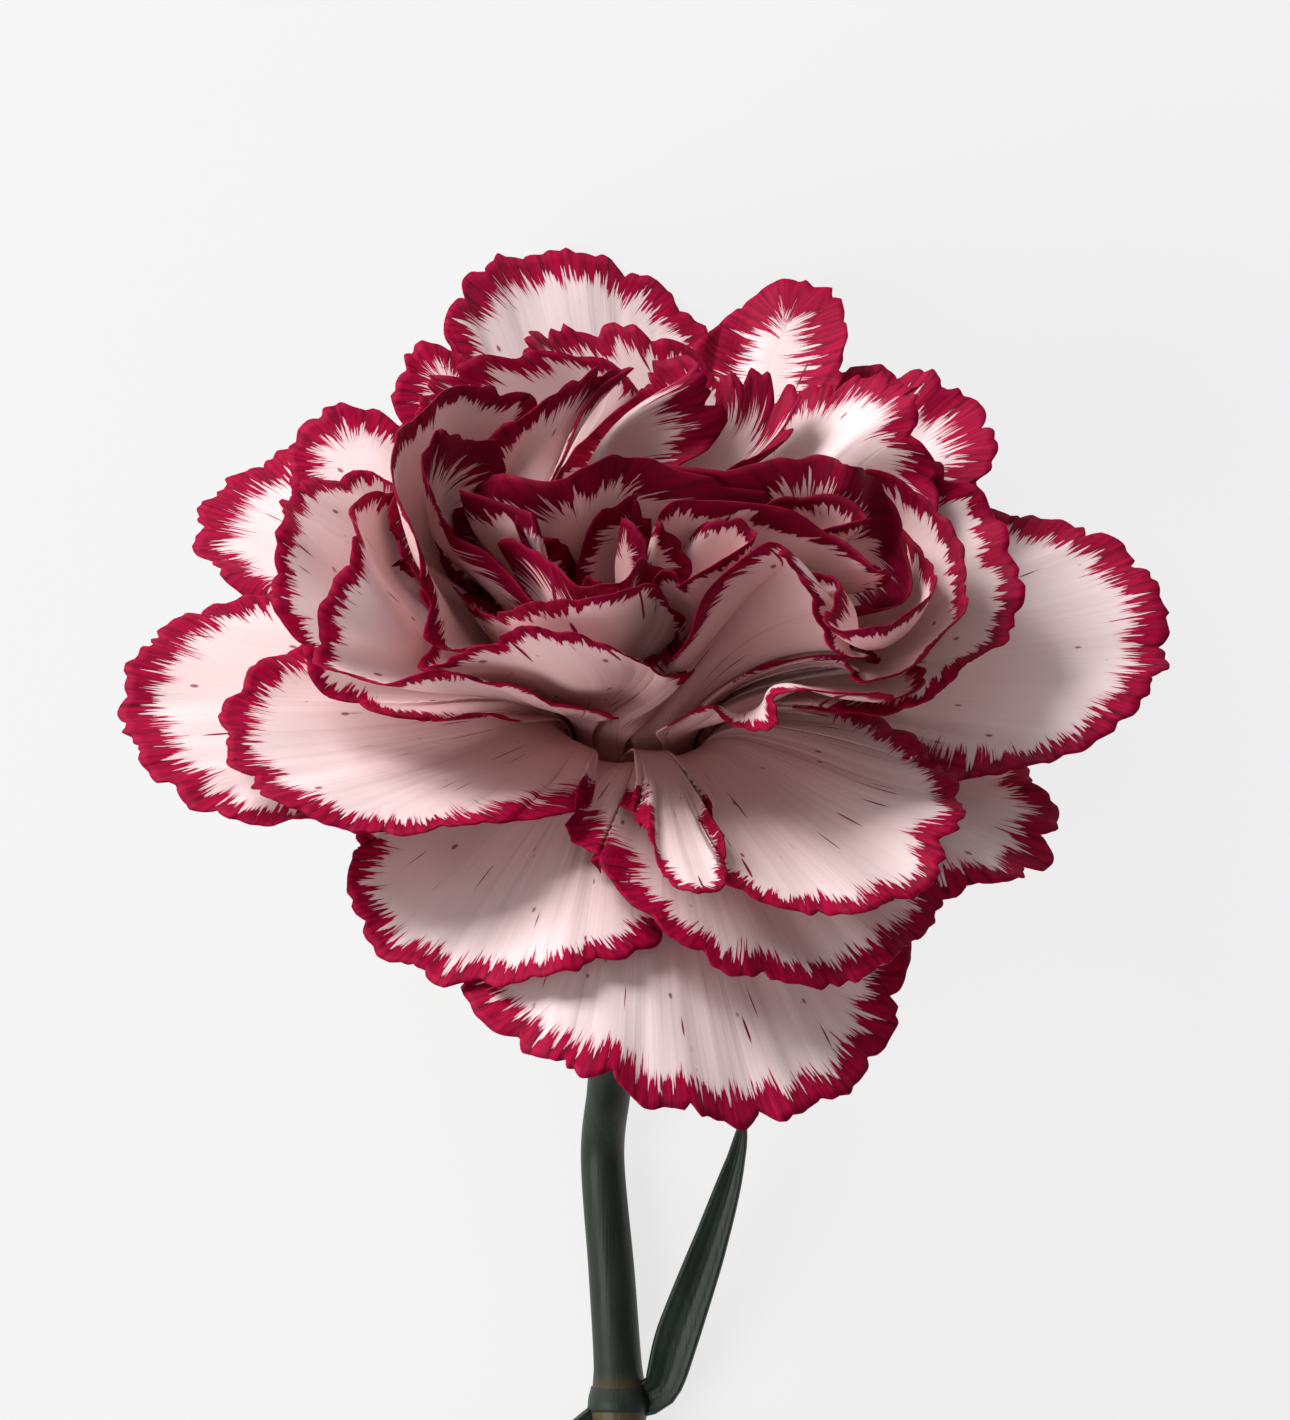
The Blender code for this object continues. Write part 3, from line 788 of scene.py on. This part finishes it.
def sweep_tree():
    tree, given, result = new_tree(
        "stalk_sweep", [("Sides", "NodeSocketInt"), ("Finish", "NodeSocketMaterial")]
    )
    ring = tree.nodes.new("GeometryNodeCurvePrimitiveCircle")
    ring.inputs["Radius"].default_value = MM
    tree.links.new(given.outputs["Sides"], ring.inputs["Resolution"])
    sweep = tree.nodes.new("GeometryNodeCurveToMesh")
    tree.links.new(given.outputs["Geometry"], sweep.inputs["Curve"])
    tree.links.new(ring.outputs[0], sweep.inputs["Profile Curve"])
    sweep.inputs["Fill Caps"].default_value = True
    if "Scale" in sweep.inputs:
        radius = tree.nodes.new("GeometryNodeInputRadius")
        tree.links.new(radius.outputs[0], sweep.inputs["Scale"])
    real = put(tree, "GeometryNodeRealizeInstances", Geometry=sweep.outputs[0])
    finish = put(
        tree, "GeometryNodeSetMaterial", Geometry=real.outputs[0], Material=given.outputs["Finish"]
    )
    tree.links.new(finish.outputs[0], result.inputs[0])
    return tree


SWEEP = sweep_tree()


def swept(name, path, radii, sides, finish):
    """A closed round rod along world millimetres, as a plain mesh."""
    curve = bpy.data.curves.new(name, "CURVE")
    curve.dimensions = "3D"
    spline = curve.splines.new("POLY")
    spline.points.add(len(path) - 1)
    spline.points.foreach_set("co", np.c_[np.asarray(path) * MM, np.ones(len(path))].ravel())
    spline.points.foreach_set("radius", np.asarray(radii, float))
    made = bpy.data.objects.new(name, curve)
    bpy.context.scene.collection.objects.link(made)
    apply_tree(made, SWEEP, {"Sides": sides, "Finish": finish})
    return made_plain(made)


print("sweep tree:", len(SWEEP.nodes), "nodes")

# %% Smooth paths


def smooth_path(points, spacing):
    """Points every spacing along a Catmull-Rom curve through the given ones, any dimension."""
    known = np.asarray(points, float)
    known = np.vstack([2 * known[0] - known[1], known, 2 * known[-1] - known[-2]])
    found = []
    for i in range(1, len(known) - 2):
        p0, p1, p2, p3 = known[i - 1 : i + 3]
        for t in np.arange(0, 1, 1 / max(2, int(np.linalg.norm(p2[:3] - p1[:3]) / spacing))):
            bend = (2 * p0 - 5 * p1 + 4 * p2 - p3) * t**2 + (3 * p1 - p0 - 3 * p2 + p3) * t**3
            found.append(0.5 * (2 * p1 + (p2 - p0) * t + bend))
    found.append(known[-2])
    return np.array(found)


# %% [markdown]
# ## Stem and leaf finish
# Stem and leaves are painted a blackish green, far darker than their own grey-green, as painted
# shade, under a thin grey bloom of wax, which lies in soft patches and is rubbed off along the
# ribs; the wax is darkened the same way. Fine fibres run lengthwise. The flower lies along y, so
# noise squeezed across and drawn out along y gives both, and around the nodes the green turns
# to a brownish yellow.

# %% Green finishes
# painted shade: the stem's greens, wax included, are darkened far below the plant's own grey-green
SHADED_STEM_GREEN = (0.007, 0.012, 0.006)
SHADED_WAX_GREEN = (0.024, 0.034, 0.025)
NODE_BROWN = (0.10, 0.075, 0.030)
FIRST_NODE = -50.5
SECOND_NODE = -95.0


def object_place(tree):
    return tree.nodes.new("ShaderNodeTexCoord").outputs["Object"]


def fibre_noise(tree, across, along, detail=3.0):
    """Noise per metre across and along the lying flower."""
    scale = (across, along, across)
    place = put(tree, "ShaderNodeMapping", Vector=object_place(tree), Scale=scale)
    noise = put(tree, "ShaderNodeTexNoise", Vector=place.outputs[0], Scale=1.0, Detail=detail)
    return noise.outputs[0]


def add_bump(tree, shader, height, strength, distance):
    bump = put(tree, "ShaderNodeBump", Strength=strength, Distance=distance, Height=height)
    tree.links.new(bump.outputs[0], shader.inputs["Normal"])


def green_finish(name, dark, wax, roughness, with_nodes=False):
    finish, tree, shader = new_finish(name, roughness)
    fibres = fibre_noise(tree, 4200, 160)
    patches = fibre_noise(tree, 420, 90, 4.0)
    share = stretch(tree, patches, 0.38, 0.70, 0.0, 0.75)
    share = calc(tree, "MULTIPLY", share, stretch(tree, fibres, 0.3, 0.65, 0.45, 1.0))
    colour = blend_colour(tree, share, dark, wax)
    if with_nodes:
        place = tree.nodes.new("ShaderNodeSeparateXYZ")
        tree.links.new(object_place(tree), place.inputs[0])
        for node_y in (FIRST_NODE, SECOND_NODE):
            gap = calc(tree, "SUBTRACT", place.outputs[1], float(node_y + LAID[1]) * MM)
            near = stretch(tree, calc(tree, "ABSOLUTE", gap), 3.0 * MM, 0.6 * MM, 0.0, 0.7)
            colour = blend_colour(tree, near, colour, NODE_BROWN)
    tree.links.new(colour, shader.inputs["Base Color"])
    rough = stretch(tree, patches, 0.3, 0.7, roughness - 0.08, roughness + 0.15)
    tree.links.new(rough, shader.inputs["Roughness"])
    shader.inputs["Specular IOR Level"].default_value = 0.3
    add_bump(tree, shader, fibres, 0.35, 0.00010)
    return finish


STALK_FINISH = green_finish("stalk_waxy_shaded", SHADED_STEM_GREEN, SHADED_WAX_GREEN, 0.42, with_nodes=True)
# painted shade: the leaves' and sheaths' greens are darkened the same way
BLADE_FINISH = green_finish("blade_waxy_shaded", (0.010, 0.018, 0.011), (0.032, 0.048, 0.036), 0.46)
SEPAL_FINISH = green_finish("sepal_waxy", (0.060, 0.105, 0.040), (0.15, 0.21, 0.12), 0.48)
print("green finishes ready")

# %% Stem
NODE_RADIUS = 2.35
CUT_SHARE = 0.93
STALK_SIDES = 36
STEM_START = to_world((0, 0, -28.3)) - LAID
STEM_KNOWN = [
    (*STEM_START, 1.75),
    (*(STEM_START - AXIS * 4.0), 1.7),
    (-2.3, -31.0, 2.5, 1.7),
    (-1.6, -40.0, 2.3, 1.8),
    (-1.1, FIRST_NODE + 3, 2.4, 1.9),
    (-1.0, FIRST_NODE, NODE_RADIUS, NODE_RADIUS),
    (-0.9, FIRST_NODE - 3, 2.5, 2.0),
    (0.4, -72.0, 2.5, 2.0),
    (1.4, SECOND_NODE + 3, 2.5, 2.05),
    (1.5, SECOND_NODE, NODE_RADIUS + 0.1, NODE_RADIUS + 0.1),
    (1.6, SECOND_NODE - 3, 2.5, 2.1),
    (1.2, -122.0, 2.4, 2.1),
    (-0.8, -150.0, 2.2, 2.15),
]
stem_known = np.array(STEM_KNOWN) + np.array([*LAID, 0.0])
stem_line = smooth_path(stem_known, 0.8)
# at the cut the rod is a little narrower, as its edge is rounded
stem_line[-1, 3] *= CUT_SHARE
stem = swept("stalk_rod", stem_line[:, :3], stem_line[:, 3], STALK_SIDES, STALK_FINISH)
hand_over(stem, "stem")
stem_length = float(np.ptp(stem_line[:, 1]))
print("stem:", round(stem_length, 1), "mm long,", len(stem.data.polygons), "faces")

# %% Leaf sheaths
SHEATH_LENGTH = 3.0
SHEATH_GROWTH = 0.16
# a sheath starts a little below the middle of its node, and thins upward
SHEATH_BELOW = 0.8
SWELLING_START, SWELLING_SHARE, THINNING = 0.15, 0.2, 0.45
for label, node_y in (("upper", FIRST_NODE), ("lower", SECOND_NODE)):
    above = stem_line[:, 1] - LAID[1] - node_y
    clasped = stem_line[(above > -SHEATH_BELOW) & (above < SHEATH_LENGTH)]
    height = (clasped[:, 1] - LAID[1] - node_y) / SHEATH_LENGTH
    swelling = SHEATH_GROWTH * ease((height + SWELLING_START) / SWELLING_SHARE)
    radii = clasped[:, 3] + swelling * (1 - THINNING * ease(height))
    name = "stalk_sheath_" + label
    sheath = swept(name, clasped[:, :3], radii, STALK_SIDES, BLADE_FINISH)
    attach(sheath, "root")
    print(label, "sheath:", len(sheath.data.polygons), "faces")

# %% [markdown]
# ## Leaves
# The leaves are narrow blades, folded to a shallow channel along the midrib and drawn out to a
# point. Each is a grid that follows its midrib out of the node, with a rounded keel under the
# channel, and gets its thickness from Solidify. The tips arch a little, as stiff grass-like
# leaves do.

# %% Leaves
LEAVES = [
    (
        "upper_right",
        1.65,
        [(2.2, -49, 3.2), (3.6, -44.5, 4.2), (6.2, -37, 5.6), (8, -31, 6.8), (8.7, -27.4, 7.4)],
    ),
    (
        "upper_left",
        1.9,
        [(-3.8, -52.8, 2.8), (-8, -56.5, 4.5), (-15, -62, 6.5), (-22, -68, 5), (-26, -75, 1.8)],
    ),
    (
        "lower_right",
        2.3,
        [(4.9, -94, 3.2), (10, -86, 5.5), (17, -74, 8), (25, -64, 7), (34, -60, 2.6)],
    ),
    (
        "lower_left",
        2.4,
        [(-1.9, -94.4, 2.8), (-8, -88, 3.6), (-17, -81, 3.6), (-28, -80, 2.4), (-37, -86, 1.6)],
    ),
]
LEAF_THICKNESS = 0.42
LEAF_CHANNEL = 0.32
LEAF_COLUMNS = 16
LEAF_SPACING = 0.8
# the blade's share of its full width at the root, and how soon it is whole
ROOT_WIDTH_SHARE, WIDENING_SHARE = 0.75, 0.3
TIP_TAPER, TIP_POWER, TIP_WIDTH = 2.2, 0.8, 0.06
KEEL_SOFTNESS = 0.05
RIB_HEIGHT, RIB_TURNS = 0.035, 4
# each pair of leaves grows out of the middle of its node
NODE_MIDDLES = {
    "upper": (-1.0, FIRST_NODE, NODE_RADIUS),
    "lower": (1.5, SECOND_NODE, NODE_RADIUS),
}
ROOT_SHARE = 0.6


def leaf_grid(pair, half_width, midrib):
    """Rows along the midrib, columns across the blade, in world millimetres."""
    base = np.array(midrib[0])
    root = base + (np.array(NODE_MIDDLES[pair]) - base) * ROOT_SHARE
    path = smooth_path(np.array([root, *midrib]) + LAID, LEAF_SPACING)
    forward = np.gradient(path, axis=0)
    forward /= np.linalg.norm(forward, axis=1, keepdims=True)
    side = np.cross(forward, (0.0, 0.0, 1.0))
    side /= np.linalg.norm(side, axis=1, keepdims=True)
    up = np.cross(side, forward)
    share = np.linspace(0, 1, len(path))
    grown = ROOT_WIDTH_SHARE + (1 - ROOT_WIDTH_SHARE) * ease(share / WIDENING_SHARE)
    width = half_width * grown * (1 - share**TIP_TAPER) ** TIP_POWER + TIP_WIDTH
    across = np.linspace(-1, 1, LEAF_COLUMNS + 1)
    reach = across[None, :] * width[:, None]
    folded = LEAF_CHANNEL * (np.sqrt(reach**2 + KEEL_SOFTNESS) - math.sqrt(KEEL_SOFTNESS))
    ribs = RIB_HEIGHT * np.cos(across * RIB_TURNS * math.pi)[None, :]
    raised = folded + ribs * (width / half_width)[:, None]
    spread = reach[..., None] * side[:, None, :]
    return path[:, None, :] + spread + raised[..., None] * up[:, None, :]


for label, half_width, midrib in LEAVES:
    pair = label.split("_")[0]
    leaf = sheet_mesh("blade_" + label, leaf_grid(pair, half_width, midrib), {})
    leaf.data.materials.append(BLADE_FINISH)
    thicken(leaf, LEAF_THICKNESS)
    leaf = made_plain(leaf)
    hand_over(leaf, "leaf_" + label)
    print("leaf", label, len(leaf.data.polygons), "faces")

# %% [markdown]
# ## The calyx and its bracts
# The calyx is a green tube, ribbed lengthwise, that ends in five pointed teeth and holds all
# the claws together. Four scale-like bracts hug its foot. The tube is turned: its outline runs
# up the outside, over the rim and down the inside, and the rim rises into teeth.

# %% Calyx
CALYX_PROFILE = [(2.1, -28), (4, -26), (5.9, -21.5), (6.6, -15), (6.8, -7), (6.9, 0)]
CALYX_WALL = 0.5
CALYX_FLOOR = 21.6
CALYX_TEETH = 5
TOOTH_LENGTH = 3.2
CALYX_RIBS = 35
CALYX_SIDES = 140
CALYX_BOTTOM = CALYX_PROFILE[0][1]
TEETH_START = 5.0
TOOTH_FLARE, TOOTH_POINT, NOTCH_DEPTH = 0.35, 0.85, 0.4
CALYX_RIB_HEIGHT = 0.05


def calyx_outside(height):
    radii, heights = zip(*CALYX_PROFILE)
    return np.interp(height, heights, radii)


def calyx_point(radius, height, angle):
    """A point of the wall in bloom coordinates, with the rim drawn up into teeth."""
    tooth = abs(((angle * CALYX_TEETH / math.pi) % 2) - 1)
    near_rim = float(ease((height + TEETH_START) / TEETH_START))
    rib = CALYX_RIB_HEIGHT * math.cos(CALYX_RIBS * angle)
    reach = radius + TOOTH_FLARE * tooth * near_rim + rib
    rise = (TOOTH_LENGTH * tooth**TOOTH_POINT - NOTCH_DEPTH) * near_rim
    return reach * math.cos(angle), reach * math.sin(angle), height + rise


def turned(name, profile, sides, place, finish):
    """A closed turned piece; profile runs from the axis at the bottom to the axis at the top."""
    angles = np.linspace(0, 2 * math.pi, sides, endpoint=False)
    points = [(0.0, 0.0, profile[0][1])]
    points += [place(radius, height, angle) for radius, height in profile[1:-1] for angle in angles]
    points.append((0.0, 0.0, profile[-1][1]))
    last, rings = len(points) - 1, len(profile) - 2
    faces = []
    for j in range(sides):
        n = (j + 1) % sides
        faces.append((0, 1 + n, 1 + j))
        for k in range(rings - 1):
            a, b = 1 + k * sides, 1 + (k + 1) * sides
            faces.append((a + j, a + n, b + n, b + j))
        faces.append((last, last - sides + j, last - sides + n))
    mesh = bpy.data.meshes.new(name)
    mesh.from_pydata((to_world(points) * MM).tolist(), [], faces)
    mesh.materials.append(finish)
    mesh.shade_smooth()
    made = bpy.data.objects.new(name, mesh)
    bpy.context.scene.collection.objects.link(made)
    return made


OUTER_STEPS, INNER_STEPS = 36, 24
outer_heights = np.linspace(CALYX_BOTTOM, 0, OUTER_STEPS)
inner_heights = np.linspace(0, -CALYX_FLOOR, INNER_STEPS)
outer = [(float(calyx_outside(h)), float(h)) for h in outer_heights]
inner = [(float(calyx_outside(h)) - CALYX_WALL, float(h)) for h in inner_heights]
calyx_outline = [(0.0, float(CALYX_BOTTOM)), *outer, *inner, (0.0, -CALYX_FLOOR)]
calyx = turned("sepal_tube", calyx_outline, CALYX_SIDES, calyx_point, SEPAL_FINISH)
hand_over(calyx, "calyx")
print("calyx:", len(calyx.data.polygons), "faces,", CALYX_TEETH, "teeth")

# %% Bracts
BRACT_COUNT = 4
BRACT_LENGTH = 9.0
BRACT_FOOT = -27.6
BRACT_GAP = 0.68
BRACT_KEEL, BRACT_FLARE = 0.12, 0.5
BRACT_HALF_ANGLE = math.radians(38)
BRACT_TAPER, BRACT_POWER, BRACT_TIP_SHARE = 2.4, 0.9, 0.03
BRACT_THICKNESS = 0.4
bract_up = np.linspace(0, 1, 22)[:, None]
bract_across = np.linspace(-1, 1, 15)[None, :]
for k in range(BRACT_COUNT):
    height = BRACT_FOOT + bract_up * BRACT_LENGTH + 0 * bract_across
    keel = BRACT_KEEL * (1 - np.abs(bract_across)) + BRACT_FLARE * bract_up**3
    radius = calyx_outside(height) + BRACT_GAP + keel
    taper = (1 - bract_up**BRACT_TAPER) ** BRACT_POWER + BRACT_TIP_SHARE
    half_angle = BRACT_HALF_ANGLE * taper
    angle = math.radians(45 + 360 / BRACT_COUNT * k) + half_angle * bract_across
    grid = np.stack([radius * np.cos(angle), radius * np.sin(angle), height], -1)
    bract = sheet_mesh(f"sepal_bract_{k + 1}", to_world(grid), {})
    bract.data.materials.append(SEPAL_FINISH)
    thicken(bract, BRACT_THICKNESS)
    bract = made_plain(bract)
    hand_over(bract, f"bract_{k + 1}")
print("bracts:", BRACT_COUNT)

# %% [markdown]
# ## The parts in the middle
# Deep between the petals stand the ovary, its two curling styles and a few stamens. Their
# plain shapes are right as they are, so the model's own pieces stay and only get a
# better finish: pale greenish white, a little waxy, with a fine grain.

# %% Middle parts
PALE_GREEN = (0.50, 0.56, 0.26)
PALE_CREAM = (0.78, 0.76, 0.58)


def pistil_finish(name, first, second):
    finish, tree, shader = new_finish(name, 0.45)
    grain = put(tree, "ShaderNodeTexNoise", Vector=object_place(tree), Scale=1500.0, Detail=3.0)
    colour = blend_colour(tree, stretch(tree, grain.outputs[0], 0.35, 0.65), first, second)
    tree.links.new(colour, shader.inputs["Base Color"])
    add_bump(tree, shader, grain.outputs[0], 0.3, 0.00005)
    return finish


green_middle = pistil_finish("pistil_green", PALE_GREEN, (0.36, 0.46, 0.18))
cream_middle = pistil_finish("pistil_cream", PALE_CREAM, PALE_GREEN)
middle = {"receptacle": green_middle, "ovary": green_middle}
middle.update({n: cream_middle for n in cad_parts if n.startswith(("style", "stamen"))})
for node, finish in middle.items():
    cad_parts[node].data.materials.clear()
    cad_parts[node].data.materials.append(finish)
print("middle parts:", sorted(middle))

# %% [markdown]
# ## Floor, light and camera
# The flower lies on a pale table and the camera looks straight down on it.

# %% Floor
FLOOR_GREY = 0.15
FLOOR_GLOW = 0.755

floor_mesh = bpy.data.meshes.new("floor")
HALF_FLOOR = 3.0
corner_signs = [(-1, -1), (1, -1), (1, 1), (-1, 1)]
corners = [(x * HALF_FLOOR, y * HALF_FLOOR, 0) for x, y in corner_signs]
floor_mesh.from_pydata(corners, [], [(0, 1, 2, 3)])
floor = bpy.data.objects.new("floor", floor_mesh)
bpy.context.scene.collection.objects.link(floor)
floor_finish, _, floor_shader = new_finish("floor_pale", 0.8)
floor_shader.inputs["Base Color"].default_value = (FLOOR_GREY, FLOOR_GREY, FLOOR_GREY, 1)
floor_shader.inputs["Emission Color"].default_value = (1, 1, 1, 1)
floor_shader.inputs["Emission Strength"].default_value = FLOOR_GLOW
floor_shader.inputs["Specular IOR Level"].default_value = 0.1
floor_mesh.materials.append(floor_finish)

# %% Light
# places and sizes in metres, powers in watts
WINDOW_PLACE, WINDOW_SIZE, WINDOW_POWER = (-0.42, 0.62, 0.13), 0.42, 9.4
REFLECTOR_PLACE, REFLECTOR_SIZE, REFLECTOR_POWER = (-0.55, -0.20, 0.50), 0.5, 4.2
ROOM_LIGHT = 0.27


def soft_light(name, place, aim, size, power):
    light = bpy.data.lights.new(name, "AREA")
    light.size = size
    light.energy = power
    lamp = bpy.data.objects.new(name, light)
    bpy.context.scene.collection.objects.link(lamp)
    lamp.location = place
    lamp.rotation_euler = (Vector(aim) - Vector(place)).to_track_quat("-Z", "Y").to_euler()
    return lamp


bloom_middle = tuple(MOUTH * MM)
soft_light("window", WINDOW_PLACE, bloom_middle, WINDOW_SIZE, WINDOW_POWER)
soft_light("reflector", REFLECTOR_PLACE, bloom_middle, REFLECTOR_SIZE, REFLECTOR_POWER)
world = bpy.data.worlds.new("studio")
bpy.context.scene.world = world
world.use_nodes = True
background = world.node_tree.nodes["Background"]
background.inputs[0].default_value = (1, 1, 1, 1)
background.inputs[1].default_value = ROOM_LIGHT

# %% Camera
CAMERA_AWAY = 600.0
CAMERA_ASIDE = (1.0, 3.75)
CAMERA_LENS = 203

camera_data = bpy.data.cameras.new("camera")
camera_data.lens = CAMERA_LENS
camera_data.clip_start = 0.01
camera = bpy.data.objects.new("camera", camera_data)
bpy.context.scene.collection.objects.link(camera)
camera.location = Vector(
    (MOUTH[0] + CAMERA_ASIDE[0], MOUTH[1] + CAMERA_ASIDE[1], MOUTH[2] + CAMERA_AWAY)
) * MM
bpy.context.scene.camera = camera
bpy.context.scene.view_settings.view_transform = "Standard"
